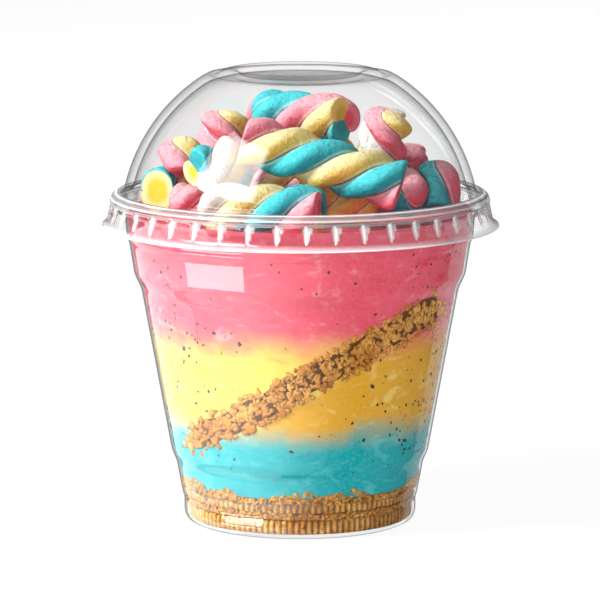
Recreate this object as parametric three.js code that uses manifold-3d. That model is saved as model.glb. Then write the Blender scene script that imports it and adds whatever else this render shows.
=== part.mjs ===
// A layered dessert in a clear cup under a domed lid, heaped with twisted
// marshmallows. Millimetres, +Z up, origin in the middle of the base, front at -Y.
import * as THREE from 'three';
import { mergeVertices } from 'three/addons/utils/BufferGeometryUtils.js';
import Module from 'manifold-3d';

const wasm = await Module();
wasm.setup();

// ---------------------------------------------------------------- dimensions
const SEGMENTS = 42;              // round the cup, and the number of lid flutes
const FIRST_ANGLE = THREE.MathUtils.degToRad(1.7);   // the flute next to the front
const GAP = 0.3;                  // between neighbouring pieces

const CUP_WALL = 1.3;
const RIM_RADIUS = 48.7;          // outside of the rolled rim
const RIM_ROLL = 1.4;             // radius of the roll
const RIM_HEIGHT = 83.9;          // centre of the roll

const DOME_SPHERE = 47.4;         // radius of the dome's outer sphere
const DOME_CENTRE = 78.1;         // height of its centre
const DOME_WALL = 2.1;
const LID_WALL = 0.5;             // bead and skirt
const LID_TOP = 120.0;            // top of the ring on the dome
const FLUTE_HALF_WIDTH = THREE.MathUtils.degToRad(1.5);

const FLOOR = 1.8;                // top of the cup's floor
const BISCUIT_LOW = { bottom: 2.1, top: 5.0, radius: 29.0 };
const SEAM = { bottom: 5.3, top: 6.7, radius: 29.2 };
const BISCUIT_HIGH = { bottom: 7.0, top: 9.4, radius: 29.6 };
const CRUMB_BOTTOM = 9.7;
const CRUMB_TOP = 11.9;           // mean level of the crumbs on the biscuits
const BLUE_TOP = 28.6;
const YELLOW_TOP = 51.0;
const PINK_TOP = 79.8;            // under the marshmallows
const PINK_EDGE = 82.8;           // where it rises to the wall

const BAND = {                    // the sloping layer of crumble
  left: -29, right: 37,           // its ends along X
  middle: 38.3, rise: 0.561,      // height at X = 0 and slope along X
  lean: -0.1,                     // slope along Y
  thickness: 8.6,
};

// ------------------------------------------------------------------- colours
const plastic = { color: 0xf4f6f6, roughness: 0.05, metalness: 0 };
const biscuit = { color: 0xd99a55, roughness: 0.9, metalness: 0 };
const crumbs = { color: 0xe6b878, roughness: 0.95, metalness: 0 };
const crumble = { color: 0xc9935a, roughness: 0.95, metalness: 0 };
const blueCream = { color: 0x19b9c6, roughness: 0.5, metalness: 0 };
const yellowCream = { color: 0xf3e58a, roughness: 0.5, metalness: 0 };
const pinkCream = { color: 0xf4879b, roughness: 0.5, metalness: 0 };
const marshmallow = { color: 0xf7c2c9, roughness: 0.85, metalness: 0 };

// ------------------------------------------------------------------- helpers
// The same small random numbers every time.
function makeDraw(seed) {
  let state = seed;
  return (low, high) => {
    state = (state * 1664525 + 1013904223) % 4294967296;
    return low + (high - low) * (state / 4294967296);
  };
}

// A solid of revolution about Z from [radius, height] points, counter-clockwise
// in the (radius, height) plane, from the axis back to the axis.
function revolve(profile) {
  const points = profile.map(([radius, height]) => new THREE.Vector2(radius, height));
  const geometry = new THREE.LatheGeometry(points, SEGMENTS, FIRST_ANGLE);
  return geometry.rotateX(Math.PI / 2);
}

function geometryOf(positions, triangles) {
  const geometry = new THREE.BufferGeometry();
  geometry.setAttribute('position', new THREE.Float32BufferAttribute(positions, 3));
  geometry.setIndex(triangles);
  return geometry;
}

// A closed surface becomes a solid that can be cut and joined.
function solidOf(geometry) {
  const bare = geometry.clone();
  bare.deleteAttribute('normal');
  bare.deleteAttribute('uv');
  const merged = mergeVertices(bare, 1e-4);
  const index = merged.index.array;
  const triVerts = [];
  for (let i = 0; i < index.length; i += 3) {
    const [a, b, c] = [index[i], index[i + 1], index[i + 2]];
    if (a !== b && b !== c && c !== a) triVerts.push(a, b, c);
  }
  const mesh = new wasm.Mesh({
    numProp: 3,
    vertProperties: new Float32Array(merged.attributes.position.array),
    triVerts: new Uint32Array(triVerts),
  });
  return new wasm.Manifold(mesh);
}

// The largest body of a solid, as a surface again.
function surfaceOf(solid) {
  const bodies = solid.decompose().sort((a, b) => b.volume() - a.volume());
  const mesh = bodies[0].simplify(0.01).getMesh();
  return geometryOf(Array.from(mesh.vertProperties), Array.from(mesh.triVerts));
}

// Points on an arc from one angle to another, in degrees, in steps.
function arc(radius, height, size, from, to, steps) {
  const points = [];
  for (let i = 0; i <= steps; i += 1) {
    const angle = THREE.MathUtils.degToRad(from + (to - from) * (i / steps));
    points.push([radius + size * Math.cos(angle), height + size * Math.sin(angle)]);
  }
  return points;
}

const group = new THREE.Group();

function add(name, geometry, look) {
  const mesh = new THREE.Mesh(geometry, new THREE.MeshStandardMaterial(look));
  mesh.name = name;
  group.add(mesh);
}

// ----------------------------------------------------------------------- cup
// The outside of the wall from the foot up to the rim, with its three steps.
const WALL = [
  [28.3, 0], [30.1, 0.8], [30.7, 2.6], [30.7, 6.2],
  [31.2, 7.6], [32.75, 16.1], [34.0, 18.8], [41.9, 62.2],
  [43.5, 66.2], [45.0, 74.5], [45.6, 75.6], [46.2, 82.5],
];
const innerWall = WALL.slice(2).map(([radius, height]) => [radius - CUP_WALL, height]);

// Inner radius of the cup at a height.
function insideRadius(height) {
  const upper = innerWall.findIndex((point) => point[1] >= height);
  if (upper < 1) return upper < 0 ? innerWall.at(-1)[0] : innerWall[0][0];
  const [low, high] = [innerWall[upper - 1], innerWall[upper]];
  const part = (height - low[1]) / (high[1] - low[1]);
  return low[0] + (high[0] - low[0]) * part;
}

function makeCup() {
  const rim = arc(RIM_RADIUS - RIM_ROLL, RIM_HEIGHT, RIM_ROLL, -60, 150, 4);
  const inside = innerWall.slice(0, -1).reverse();
  return revolve([
    [0, 0.8], [25.0, 0.8], [26.2, 0], ...WALL, ...rim,
    ...inside, [28.4, FLOOR], [0, FLOOR],
  ]);
}

// ----------------------------------------------------------------------- lid
// A ring of points: one to each flute, or three where a flute is pressed in.
function ring(radius, height, dent = null) {
  const points = [];
  for (let k = 0; k < SEGMENTS; k += 1) {
    const middle = FIRST_ANGLE + (k / SEGMENTS) * Math.PI * 2;
    const spots = dent === null
      ? [[middle, radius]]
      : [[middle - FLUTE_HALF_WIDTH, radius], [middle, radius - dent],
        [middle + FLUTE_HALF_WIDTH, radius]];
    for (const [angle, r] of spots) {
      points.push(r * Math.sin(angle), -r * Math.cos(angle), height);
    }
  }
  return { points, perFlute: dent === null ? 1 : 3 };
}

// Joins rings of one or three points to a flute into a closed surface that
// starts and ends with a point on the axis.
function skin(startHeight, rings, endHeight) {
  const positions = [0, 0, startHeight];
  const triangles = [];
  const starts = rings.map((one) => {
    const first = positions.length / 3;
    positions.push(...one.points);
    return first;
  });
  const last = positions.length / 3;
  positions.push(0, 0, endHeight);
  const at = (i, k) => starts[i] + (k % (rings[i].perFlute * SEGMENTS));
  for (let k = 0; k < SEGMENTS; k += 1) {
    triangles.push(0, at(0, k), at(0, k + 1));
    triangles.push(last, at(rings.length - 1, k + 1), at(rings.length - 1, k));
  }
  for (let i = 0; i + 1 < rings.length; i += 1) {
    const [here, next] = [rings[i].perFlute, rings[i + 1].perFlute];
    for (let k = 0; k < SEGMENTS; k += 1) {
      if (here === next) {
        for (let j = k * here; j < (k + 1) * here; j += 1) {
          triangles.push(at(i, j), at(i + 1, j), at(i + 1, j + 1));
          triangles.push(at(i, j), at(i + 1, j + 1), at(i, j + 1));
        }
      } else if (here === 1) {
        for (let j = 3 * k; j < 3 * k + 3; j += 1) {
          triangles.push(at(i, k), at(i + 1, j), at(i + 1, j + 1));
        }
        triangles.push(at(i, k), at(i + 1, 3 * k + 3), at(i, k + 1));
      } else {
        for (let j = 3 * k; j < 3 * k + 3; j += 1) {
          triangles.push(at(i + 1, k), at(i, j + 1), at(i, j));
        }
        triangles.push(at(i + 1, k), at(i + 1, k + 1), at(i, 3 * k + 3));
      }
    }
  }
  return geometryOf(positions, triangles);
}

// Heights up a sphere from a low angle to a high one, in degrees.
function spherePart(radius, from, to, steps) {
  return arc(0, DOME_CENTRE, radius, from, to, steps);
}

function makeLid() {
  const outside = [
    [15.6, LID_TOP - 1.7], [16.6, LID_TOP - 0.5], [18.2, LID_TOP], [20.4, LID_TOP - 0.7],
    [22.6, LID_TOP - 1.7],
    ...spherePart(DOME_SPHERE, 56, 11, 5),
    [46.6, 87.0],
    ...arc(47.6, 85.3, 2.4, 100, -22, 3),
  ];
  const dents = [[84.0, 49.75, 0.25], [82.3, 49.85, 0.75]];
  const inside = spherePart(DOME_SPHERE - DOME_WALL, 12, 56, 4);
  const beadInside = arc(47.4, 85.2, 1.85, 100, -10, 2).reverse();
  const rings = [
    ...outside.map(([radius, height]) => ring(radius, height)),
    ...dents.map(([height, radius, dent]) => ring(radius, height, dent)),
    ring(50.9, 80.2),
    ring(52.5, 78.8),
    ring(51.9, 78.8),
    ring(50.9 - LID_WALL, 80.2),
    ...dents.reverse().map(([height, radius, dent]) => ring(radius - LID_WALL, height, dent)),
    ...beadInside.map(([radius, height]) => ring(radius, height)),
    ...inside.map(([radius, height]) => ring(radius, height)),
    ring(17.6, LID_TOP - 2.4),
    ring(14.6, LID_TOP - 3.0),
  ];
  return skin(LID_TOP - 1.7, rings, LID_TOP - 3.0);
}

// ---------------------------------------------------------------- dry layers
function makeDisc({ bottom, top, radius }) {
  const edge = bottom < 3 ? 1.4 : 0.5;
  return revolve([
    [0, bottom], [radius - edge, bottom], [radius, bottom + 0.5], [radius, top], [0, top],
  ]);
}

// Height of the crumbs under the cream, uneven near the wall.
function crumbHeight(angle, share) {
  const heaps = 0.9 * Math.sin(5 * angle + 0.6) + 0.6 * Math.sin(11 * angle + 2.1)
    + 0.5 * Math.sin(17 * angle);
  return CRUMB_TOP + share * heaps;
}

// A round layer between two surfaces, each a height or a function of angle and
// of the share of the radius; its side follows the cup's wall.
function layer(bottom, top, bottomLevel, topLevel, gap = GAP) {
  const surface = (shape) => (typeof shape === 'number'
    ? { shares: [1], heightAt: () => shape }
    : { shares: [0.8, 1], heightAt: shape });
  const positions = [];
  const triangles = [];
  const rows = [];
  const row = (place) => {
    rows.push(positions.length / 3);
    for (let k = 0; k < SEGMENTS; k += 1) {
      const angle = FIRST_ANGLE + (k / SEGMENTS) * Math.PI * 2;
      const [radius, height] = place(angle);
      positions.push(radius * Math.sin(angle), -radius * Math.cos(angle), height);
    }
  };
  positions.push(0, 0, bottomLevel);
  for (const share of surface(bottom).shares) {
    row((angle) => {
      const height = surface(bottom).heightAt(angle, share);
      return [(insideRadius(height) - gap) * share, height];
    });
  }
  const steps = WALL.filter(([, z]) => z > bottomLevel + 2 && z < topLevel - 2);
  for (const [, z] of steps) row(() => [insideRadius(z) - gap, z]);
  for (const share of surface(top).shares.reverse()) {
    row((angle) => {
      const height = surface(top).heightAt(angle, share);
      return [(insideRadius(height) - gap) * share, height];
    });
  }
  const last = positions.length / 3;
  positions.push(0, 0, topLevel);
  for (let k = 0; k < SEGMENTS; k += 1) {
    const next = (k + 1) % SEGMENTS;
    triangles.push(0, rows[0] + next, rows[0] + k);
    triangles.push(last, rows.at(-1) + k, rows.at(-1) + next);
    for (let i = 0; i + 1 < rows.length; i += 1) {
      triangles.push(rows[i] + k, rows[i] + next, rows[i + 1] + next);
      triangles.push(rows[i] + k, rows[i + 1] + next, rows[i + 1] + k);
    }
  }
  return geometryOf(positions, triangles);
}

function makeCrumbLayer() {
  return layer(CRUMB_BOTTOM, crumbHeight, CRUMB_BOTTOM, CRUMB_TOP);
}

// ------------------------------------------------------- sloping crumble band
// A slab that runs from front to back through the cream, rough on both faces.
// A swell makes the thicker copy that the cream is cut by.
function makeBandSlab(swell) {
  const draw = makeDraw(41);
  const along = 14;
  const across = [-46, -36, -26, 0, 26, 36, 46];
  const positions = [];
  const triangles = [];
  const width = across.length;
  for (let i = 0; i <= along; i += 1) {
    const share = i / along;
    const x = BAND.left + (BAND.right - BAND.left) * share + (share * 2 - 1) * swell;
    const full = Math.min(1, 0.45 + 3.2 * Math.min(share, 1 - share));
    for (const y of across) {
      const middle = BAND.middle + BAND.rise * x + BAND.lean * y;
      const half = BAND.thickness / 2 * full;
      const sway = draw(-0.5, 0.5);
      positions.push(x + sway, y, middle - half - swell * 1.15 + draw(-0.8, 0.8));
      positions.push(x + sway, y, middle + half + swell * 1.15 + draw(-0.8, 0.8));
    }
  }
  const low = (i, j) => 2 * (i * width + j);
  const high = (i, j) => low(i, j) + 1;
  for (let i = 0; i < along; i += 1) {
    for (let j = 0; j + 1 < width; j += 1) {
      triangles.push(low(i, j), low(i + 1, j + 1), low(i + 1, j));
      triangles.push(low(i, j), low(i, j + 1), low(i + 1, j + 1));
      triangles.push(high(i, j), high(i + 1, j), high(i + 1, j + 1));
      triangles.push(high(i, j), high(i + 1, j + 1), high(i, j + 1));
    }
    const back = width - 1;
    triangles.push(low(i, 0), low(i + 1, 0), high(i + 1, 0));
    triangles.push(low(i, 0), high(i + 1, 0), high(i, 0));
    triangles.push(low(i, back), high(i + 1, back), low(i + 1, back));
    triangles.push(low(i, back), high(i, back), high(i + 1, back));
  }
  for (let j = 0; j + 1 < width; j += 1) {
    triangles.push(low(0, j), high(0, j), high(0, j + 1));
    triangles.push(low(0, j), high(0, j + 1), low(0, j + 1));
    triangles.push(low(along, j), high(along, j + 1), high(along, j));
    triangles.push(low(along, j), low(along, j + 1), high(along, j + 1));
  }
  return solidOf(geometryOf(positions, triangles));
}

// ------------------------------------------------------------- cream layers
const creamRoom = solidOf(layer(FLOOR, PINK_TOP, FLOOR, PINK_TOP));
const bandKeepOut = makeBandSlab(GAP);

function cutByBand(geometry) {
  return solidOf(geometry).subtract(bandKeepOut);
}

function makeBlue() {
  const floor = (angle, share) => crumbHeight(angle, share) + GAP;
  const top = BLUE_TOP - GAP / 2;
  return surfaceOf(cutByBand(layer(floor, top, CRUMB_TOP + GAP, top)));
}

// The band parts the yellow cream into an upper left and a lower right piece.
function makeYellows() {
  const bottom = BLUE_TOP + GAP / 2;
  const top = YELLOW_TOP - GAP / 2;
  const both = cutByBand(layer(bottom, top, bottom, top));
  const pieces = both.decompose().sort((a, b) => b.volume() - a.volume()).slice(0, 2);
  const leftness = (piece) => piece.boundingBox().min[0];
  pieces.sort((a, b) => leftness(a) - leftness(b));
  return pieces.map(surfaceOf);
}

// The pink cream rises a little to the wall, round the marshmallows.
function pinkSurface(lift) {
  return (angle, share) => (share < 1 ? PINK_TOP : PINK_EDGE) + lift;
}

function makePink() {
  const bottom = YELLOW_TOP + GAP / 2;
  const pink = layer(bottom, pinkSurface(0), bottom, PINK_TOP);
  return surfaceOf(cutByBand(pink));
}

// ------------------------------------------------------------- marshmallows
// Each twist runs from one end to the other; `strands` ropes wind round it, one
// turn in `pitch`, and the first one faces the front at `first` from the start.
// Ends are cut flat, blunt or round. Earlier pieces press into later ones.
const TWISTS = [
  { name: 'front_long', from: [-14.5, -19, 103.6], to: [26, -24, 92], size: 14.3,
    strands: 3, pitch: 29.5, first: -3.2, ends: 'cut cut' },
  { name: 'top', from: [-11.5, 13, 106.6], to: [11.6, -7.5, 107.3], size: 13.8,
    strands: 3, pitch: 30, first: 6, ends: 'round cut' },
  { name: 'front_low', from: [-26, -23.5, 86], to: [5.4, -32, 86.4], size: 14.2,
    strands: 3, pitch: 28.5, first: 1, ends: 'round cut' },
  { name: 'right_high', from: [23.4, -11, 110.2], to: [20.8, -8.5, 97.8], size: 13.8,
    strands: 3, pitch: 19, first: -0.5, ends: 'blunt cut' },
  { name: 'left_high', from: [-19.8, 8, 108], to: [-20.5, 6, 94], size: 14.2,
    strands: 3, pitch: 20, first: -0.9, ends: 'blunt cut' },
  { name: 'left_front', from: [-26.5, -18.5, 94.8], to: [-15, -9, 98.5], size: 13.4,
    strands: 3, pitch: 28.5, first: -4.7, ends: 'cut round' },
  { name: 'left_end', from: [-37.5, -3.5, 88], to: [-33, 13, 88], size: 12,
    strands: 2, pitch: 60, first: -15, ends: 'cut cut' },
  { name: 'right_low', from: [28.8, 0, 88.2], to: [27.6, -14.8, 87.6], size: 12.4,
    strands: 2, pitch: 50, first: 15, ends: 'cut round' },
  { name: 'right_edge', from: [36, 0.5, 95.6], to: [36, -3, 83.5], size: 12.6,
    strands: 3, pitch: 50, first: -5.4, ends: 'round cut' },
  { name: 'left_middle', from: [-31.2, 3, 100.8], to: [-30.8, -1, 92], size: 13.4,
    strands: 3, pitch: 30, first: -0.5, ends: 'blunt cut' },
  { name: 'left_low', from: [-34, -13, 86.2], to: [-23, -12, 86.6], size: 12,
    strands: 3, pitch: 28.5, first: 2, ends: 'round cut' },
  { name: 'right_back', from: [28.5, 9, 99], to: [28, 9, 89], size: 13,
    strands: 3, pitch: 30, first: 0, ends: 'blunt cut' },
  { name: 'middle_low', from: [0, -12.5, 86.3], to: [20.5, -10, 86.2], size: 12.4,
    strands: 3, pitch: 28.5, first: 3, ends: 'cut round' },
  { name: 'top_back', from: [-7.9, 17, 108.6], to: [-10, 31, 100.5], size: 11.6,
    strands: 3, pitch: 28.5, first: 1, ends: 'round cut' },
  { name: 'back_high', from: [-18, 25.5, 95.5], to: [13, 25, 95], size: 13.4,
    strands: 3, pitch: 28.5, first: 4, ends: 'round cut' },
  { name: 'middle_high', from: [-13, 11, 93.5], to: [15, 9.5, 95.5], size: 13,
    strands: 4, pitch: 34, first: 2, ends: 'round round' },
  { name: 'back_left', from: [-29, 20, 87], to: [-4, 33, 87], size: 13.6,
    strands: 3, pitch: 28.5, first: 2, ends: 'round cut' },
  { name: 'back_right', from: [9.5, 32, 87], to: [33, 19, 87], size: 13.4,
    strands: 4, pitch: 34, first: 5, ends: 'cut round' },
  { name: 'middle', from: [-13, -2, 88], to: [12, 3, 88], size: 12.6,
    strands: 4, pitch: 34, first: 2, ends: 'round round' },
];
const STRAND_SIZE = { 2: 0.4, 3: 0.29, 4: 0.235 };   // strand radius over width
const POINTS_PER_STRAND = { 2: 6, 3: 4, 4: 3 };
const ROW_STEP = 4.6;
const ENDS = {                    // length over the width, and share of it at the tip
  round: [0.42, 0.12],
  blunt: [0.24, 0.35],
  cut: [0.065, 0.9],
};

// Radius of a bundle of strands at an angle from the nearest strand's middle.
function bundleRadius(away, width, strands) {
  const strand = width * STRAND_SIZE[strands];
  const middle = width / 2 - strand;
  const side = middle * Math.sin(away);
  return middle * Math.cos(away) + Math.sqrt(Math.max(0, strand * strand - side * side));
}

// Share of the full width at a distance from an end.
function endShare(distance, kind, width) {
  const [reach, least] = ENDS[kind];
  const part = Math.min(1, distance / (reach * width));
  return least + (1 - least) * Math.sqrt(1 - (1 - part) ** 2);
}

// Places along a twist where its rows stand: closer together at soft ends.
function rowPlaces(length, kinds, width) {
  const reach = kinds.map((kind) => width * ENDS[kind][0]);
  const near = kinds.map((kind, i) => (kind === 'cut' ? [0, 1] : [0, 0.22, 1])
    .map((share) => share * reach[i]));
  const span = length - reach[0] - reach[1];
  const steps = Math.max(1, Math.round(span / ROW_STEP));
  const middle = [];
  for (let i = 1; i < steps; i += 1) middle.push(reach[0] + (span * i) / steps);
  return [...near[0], ...middle, ...near[1].map((place) => length - place).reverse()];
}

function makeTwist({ from, to, size, strands, pitch, first, ends }, swell) {
  const [start, end] = [new THREE.Vector3(...from), new THREE.Vector3(...to)];
  const axis = end.clone().sub(start);
  const length = axis.length();
  axis.normalize();
  const front = new THREE.Vector3(0, -1, 0);
  const side = front.clone().addScaledVector(axis, -front.dot(axis)).normalize();
  const up = side.clone().cross(axis);
  const kinds = ends.split(' ');
  const perStrand = POINTS_PER_STRAND[strands];
  const count = strands * perStrand;
  const places = rowPlaces(length, kinds, size);
  const positions = [];
  const triangles = [];
  const push = (centre, radius, angle) => {
    const point = centre.clone()
      .addScaledVector(up, radius * Math.cos(angle))
      .addScaledVector(side, radius * Math.sin(angle));
    positions.push(point.x, point.y, point.z);
  };
  places.forEach((place, i) => {
    const outward = i === 0 ? -swell : i === places.length - 1 ? swell : 0;
    const centre = start.clone().addScaledVector(axis, place + outward);
    const share = Math.min(
      endShare(place, kinds[0], size),
      endShare(length - place, kinds[1], size),
    );
    const spin = Math.PI / 2 + ((first - place) / pitch) * Math.PI * 2;
    for (let j = 0; j < count; j += 1) {
      const away = ((j % perStrand) / perStrand - 0.5) * ((Math.PI * 2) / strands);
      const angle = spin + (j / count - 0.5 / strands) * Math.PI * 2;
      push(centre, bundleRadius(away, size, strands) * share + swell, angle);
    }
  });
  const caps = positions.length / 3;
  push(start.clone().addScaledVector(axis, -swell), 0, 0);
  push(end.clone().addScaledVector(axis, swell), 0, 0);
  for (let j = 0; j < count; j += 1) {
    const next = (j + 1) % count;
    triangles.push(caps, next, j);
    const last = (places.length - 1) * count;
    triangles.push(caps + 1, last + j, last + next);
    for (let i = 0; i + 1 < places.length; i += 1) {
      const [a, b] = [i * count, (i + 1) * count];
      triangles.push(a + j, a + next, b + next);
      triangles.push(a + j, b + next, b + j);
    }
  }
  return geometryOf(positions, triangles);
}

// Every twist is trimmed by the cream below it and by the pieces before it.
function makeTwists() {
  const bottom = YELLOW_TOP;
  const cream = solidOf(layer(bottom, pinkSurface(GAP), bottom, PINK_TOP + GAP, 0));
  const swollen = [];
  return TWISTS.map((twist) => {
    let solid = solidOf(makeTwist(twist, 0)).subtract(cream);
    for (const other of swollen) solid = solid.subtract(other);
    swollen.push(solidOf(makeTwist(twist, GAP)));
    return [`marshmallow_${twist.name}`, surfaceOf(solid)];
  });
}

// ------------------------------------------------------------------ assembly
add('cup', makeCup(), plastic);
add('lid', makeLid(), plastic);
add('biscuit_low', makeDisc(BISCUIT_LOW), biscuit);
add('crumb_seam', makeDisc(SEAM), crumbs);
add('biscuit_high', makeDisc(BISCUIT_HIGH), biscuit);
add('crumb_layer', makeCrumbLayer(), crumbs);
add('blue_cream', makeBlue(), blueCream);
const [yellowLeft, yellowRight] = makeYellows();
add('yellow_cream_left', yellowLeft, yellowCream);
add('yellow_cream_right', yellowRight, yellowCream);
add('pink_cream', makePink(), pinkCream);
add('crumble_band', surfaceOf(makeBandSlab(0).intersect(creamRoom)), crumble);
for (const [name, geometry] of makeTwists()) add(name, geometry, marshmallow);

export default group;
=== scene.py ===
# A layered dessert in a clear cup: creams, biscuits, crumbs and twisted
# marshmallows under a clear dome. Shapes are worked out in millimetres.
import math

import bmesh
import bpy
import numpy as np
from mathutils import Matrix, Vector


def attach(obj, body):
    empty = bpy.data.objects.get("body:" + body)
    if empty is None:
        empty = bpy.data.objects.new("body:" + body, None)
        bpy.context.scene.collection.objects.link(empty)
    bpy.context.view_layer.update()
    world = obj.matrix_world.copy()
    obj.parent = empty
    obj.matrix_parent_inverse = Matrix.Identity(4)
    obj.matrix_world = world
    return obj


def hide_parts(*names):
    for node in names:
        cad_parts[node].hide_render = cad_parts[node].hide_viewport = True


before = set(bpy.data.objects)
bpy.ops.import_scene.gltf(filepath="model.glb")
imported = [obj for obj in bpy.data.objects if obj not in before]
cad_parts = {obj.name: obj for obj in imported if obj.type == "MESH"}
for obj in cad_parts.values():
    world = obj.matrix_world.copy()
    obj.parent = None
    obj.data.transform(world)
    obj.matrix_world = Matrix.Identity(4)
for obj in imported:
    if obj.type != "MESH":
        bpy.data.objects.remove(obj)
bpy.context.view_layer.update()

MM = 0.001
TURN = 2 * math.pi
FLUTES = 42
FIRST_FLUTE = math.radians(1.7)

# ------------------------------------------------------------------- sizes
# The cup's outer line from the foot to the rim, as (radius, height).
WALL = [
    (28.3, 0), (30.1, 0.8), (30.7, 2.6), (30.7, 6.2),
    (31.2, 7.6), (32.75, 16.1), (34.0, 18.8), (41.9, 62.2),
    (43.75, 66.2), (45.0, 74.5), (45.6, 75.6), (46.2, 82.5),
]
CUP_WALL, FLOOR = 1.3, 1.8
RIM_RADIUS, RIM_ROLL, RIM_HEIGHT = 48.7, 1.4, 83.9
# How far the creams reach into the wall, so that no air shows between them.
INTO_WALL = 0.5
# How far a crumb may reach into the wall, flattened against it.
PRESSED = 1.15
BLUE_TOP, YELLOW_TOP, PINK_TOP, PINK_EDGE = 28.6, 51.0, 79.8, 82.8
# The pink cream's radius at its top.
CREAM_RADIUS = 44.5
# The sloping crumble: its ends, its height in the middle, and how it rises and leans.
BAND_LEFT, BAND_RIGHT, BAND_MIDDLE = -29.0, 37.0, 38.3
BAND_RISE, BAND_LEAN, BAND_THICKNESS = 0.561, -0.1, 8.6
DOME_SPHERE, DOME_CENTRE, DOME_WALL, LID_WALL = 47.4, 78.1, 2.1, 0.5
LID_TOP, BEAD_TOP = 120.0, 88.2
BEAD_RADIUS, BEAD_HEIGHT, BEAD_SIZE = 47.6, 85.3, 2.4
SKIRT_RADIUS, SKIRT_FLARE, SKIRT_TOP, LIP_TOP = 49.95, 0.95, 84.3, 79.0
FLUTE_BOTTOM, FLUTE_LENGTH, FLUTE_DEPTH = 80.2, 4.2, 0.85
# What lies beyond this radius is the lid's outer edge, with the flutes and the lip.
EDGE_FROM = 49

# ------------------------------------------------------------------ camera
# Places here are in metres.
CAMERA_PLACE, CAMERA_TARGET, CAMERA_LENS = (0, -1.2, 0.248), (0, 0, 0.0585), 275.86


def point_at(thing, target):
    """Turns a camera or a lamp, which has its place, towards a point."""
    aim = Vector(target) - thing.location
    thing.rotation_euler = aim.to_track_quat("-Z", "Y").to_euler()


camera = bpy.data.objects.new("camera", bpy.data.cameras.new("camera"))
bpy.context.collection.objects.link(camera)
bpy.context.scene.camera = camera
camera.data.sensor_width = 36
camera.data.lens = CAMERA_LENS
camera.data.clip_start, camera.data.clip_end = 0.05, 60
camera.location = CAMERA_PLACE
point_at(camera, CAMERA_TARGET)


# ----------------------------------------------------------------- shaders
class Graph:
    """A material's node tree, built by small calls that return sockets."""

    def __init__(self, name):
        self.material = bpy.data.materials.new(name)
        self.material.use_nodes = True
        self.tree = self.material.node_tree
        self.tree.nodes.clear()

    def node(self, kind, inputs=None, **settings):
        made = self.tree.nodes.new(kind)
        for key, value in settings.items():
            setattr(made, key, value)
        for key, value in (inputs or {}).items():
            self.put(made.inputs[key], value)
        return made

    def put(self, socket, value):
        if isinstance(value, bpy.types.NodeSocket):
            self.tree.links.new(value, socket)
        elif socket.type == "RGBA" and len(value) == 3:
            socket.default_value = (*value, 1)
        else:
            socket.default_value = value

    def math(self, operation, a, b):
        return self.node("ShaderNodeMath", {0: a, 1: b}, operation=operation).outputs[0]

    def mix(self, factor, a, b):
        made = self.node("ShaderNodeMix", {0: factor, 6: a, 7: b}, data_type="RGBA")
        return made.outputs[2]

    def place(self, scale=(1, 1, 1)):
        """Where the point lies, in metres, stretched by a scale."""
        where = self.node("ShaderNodeTexCoord").outputs["Object"]
        if scale == (1, 1, 1):
            return where
        return self.node("ShaderNodeMapping", {"Vector": where, "Scale": scale}).outputs[0]

    def noise(self, size_mm, detail=2.0, rough=0.5, stretch=(1, 1, 1), warp=0.0):
        inputs = {
            "Vector": self.place(stretch), "Scale": 1000.0 / size_mm,
            "Detail": detail, "Roughness": rough, "Distortion": warp,
        }
        return self.node("ShaderNodeTexNoise", inputs).outputs["Fac"]

    def spread(self, value, low, high, to_low=0.0, to_high=1.0, soft=True):
        kind = "SMOOTHSTEP" if soft else "LINEAR"
        inputs = {0: value, 1: low, 2: high, 3: to_low, 4: to_high}
        made = self.node("ShaderNodeMapRange", inputs, interpolation_type=kind)
        return made.outputs[0]

    def attribute(self, name):
        return self.node("ShaderNodeAttribute", attribute_name=name).outputs["Fac"]

    def bump(self, height, strength, distance_mm, under=None):
        inputs = {"Height": height, "Strength": strength, "Distance": distance_mm * MM}
        if under is not None:
            inputs["Normal"] = under
        return self.node("ShaderNodeBump", inputs).outputs[0]

    def blend(self, share, first, second):
        return self.node("ShaderNodeMixShader", {0: share, 1: first, 2: second}).outputs[0]

    def film(self, face, edge, edge_power, glare, glare_power, least_glare, roughness):
        """See-through face on, darker at a slant, with a gloss that grows with the slant."""
        slant = self.node("ShaderNodeLayerWeight", {"Blend": 0.5}).outputs["Facing"]
        growth = self.math("MULTIPLY", self.math("POWER", slant, glare_power), glare)
        tint = self.mix(self.math("POWER", slant, edge_power), face, edge)
        clear = self.node("ShaderNodeBsdfTransparent", {"Color": tint})
        gloss = self.node("ShaderNodeBsdfAnisotropic",
                          {"Color": (1, 1, 1), "Roughness": roughness})
        share = self.math("ADD", growth, least_glare)
        return self.blend(share, clear.outputs[0], gloss.outputs[0])

    def show(self, shader):
        output = self.node("ShaderNodeOutputMaterial")
        self.tree.links.new(shader, output.inputs["Surface"])
        return self.material

    def principled(self, inputs):
        return self.show(self.node("ShaderNodeBsdfPrincipled", inputs).outputs[0])


def make_film_material(name, glare, face, edge):
    """A thin clear film: shiny at a slant, see-through face on, grey at its very edge."""
    g = Graph(name)
    return g.show(g.film(face, edge, edge_power=8.0, glare=glare, glare_power=5.0,
                         least_glare=0.04, roughness=0.03))


def make_bead_material():
    """The lid's rolled edge and skirt: a clear film with painted lines on it.

    The plastic is painted white as highlights, and painted dark in lines beside them, in place of
    its reflections."""
    g = Graph("clear_bead")
    smooth = g.film((0.985, 0.988, 0.99), (0.03, 0.032, 0.034), edge_power=9.0,
                    glare=0.25, glare_power=4.0, least_glare=0.05, roughness=0.02)
    # Painted highlights and painted dark lines, laid over the clear film.
    pressed, creased = g.attribute("pressed"), g.attribute("creased")
    line = g.mix(creased, (0.97, 0.97, 0.97), (0.02, 0.02, 0.02))
    painted_lines = g.node("ShaderNodeBsdfDiffuse", {"Color": line}).outputs[0]
    return g.show(g.blend(g.math("MAXIMUM", pressed, creased), smooth, painted_lines))


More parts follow.
